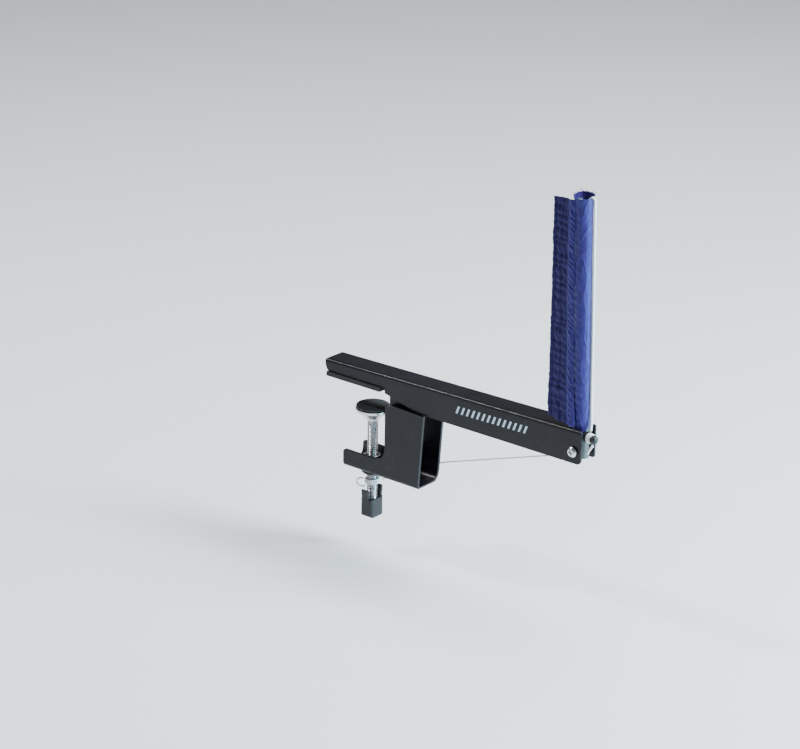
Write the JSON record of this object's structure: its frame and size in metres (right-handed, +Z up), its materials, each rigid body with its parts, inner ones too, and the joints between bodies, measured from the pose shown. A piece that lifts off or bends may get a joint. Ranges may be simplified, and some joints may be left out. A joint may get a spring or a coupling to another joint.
{
  "type": "table tennis net clamp",
  "caption": "Screw clamp for a table edge with a channel arm and a folding post that carries the end of a table tennis net.",
  "frame": {"origin": "centre of the arm pad's underside, which rests on the table top", "axes": "+X outward along the arm, away from the table; +Y across the arm to the back; +Z up"},
  "size_m": [0.2046, 0.0235, 0.2419],
  "materials": {
    "black_paint": "glossy powder coat",
    "grey_paint": "satin",
    "zinc": "zinc plated",
    "black_rubber": "matt",
    "black_plastic": "moulded",
    "blue_cloth": "satin weave",
    "navy_cloth": "gathered weave",
    "white_cord": "braided"
  },
  "bodies": {
    "frame": {"arm_channel": "black_paint", "arm_pad": "black_rubber", "clamp_bracket": "black_paint", "screw_bush": "black_paint", "pivot_screw": "zinc", "pivot_nut": "zinc", "pivot_spacer_front": "black_plastic", "pivot_spacer_back": "black_plastic", "string_run": "white_cord"},
    "pressure_pad": {"pressure_cup": "zinc", "pressure_facing": "black_rubber", "cup_washer": "zinc", "string_wraps": "white_cord", "string_bow": "white_cord", "string_knot": "white_cord"},
    "clamp_screw": {"clamp_screw": "zinc", "wing_knob": "black_plastic"},
    "post": {"post_tube": "grey_paint", "post_foot_plug": "black_plastic", "post_cap": "black_plastic", "peg_spool": "black_plastic", "peg_head": "black_plastic", "peg_wraps": "white_cord", "net_sleeve": "blue_cloth", "sleeve_strip": "navy_cloth", "cord_post_run": "white_cord", "cord_top_knot": "white_cord", "cord_peg_tail": "white_cord"}
  },
  "joints": [
    {"name": "screw_turn", "type": "hinge", "parent": "pressure_pad", "child": "clamp_screw", "pos_m": [0.0082, 0, -0.05], "axis": [0, 0, 1], "range_deg": [-6480, 720]},
    {"name": "screw_travel", "type": "slide", "parent": "frame", "child": "pressure_pad", "axis": [0, 0, 1], "range_m": [-0.0225, 0.0025], "deforming": ["string_run"]},
    {"name": "post_fold", "type": "hinge", "parent": "frame", "child": "post", "pos_m": [0.167, 0, 0.0003], "axis": [0, 1, 0], "range_deg": [0, 90]}
  ],
  "couplings": [
    {"joint": "screw_turn", "follows": "screw_travel", "rad_per_m": 5026.5}
  ]
}
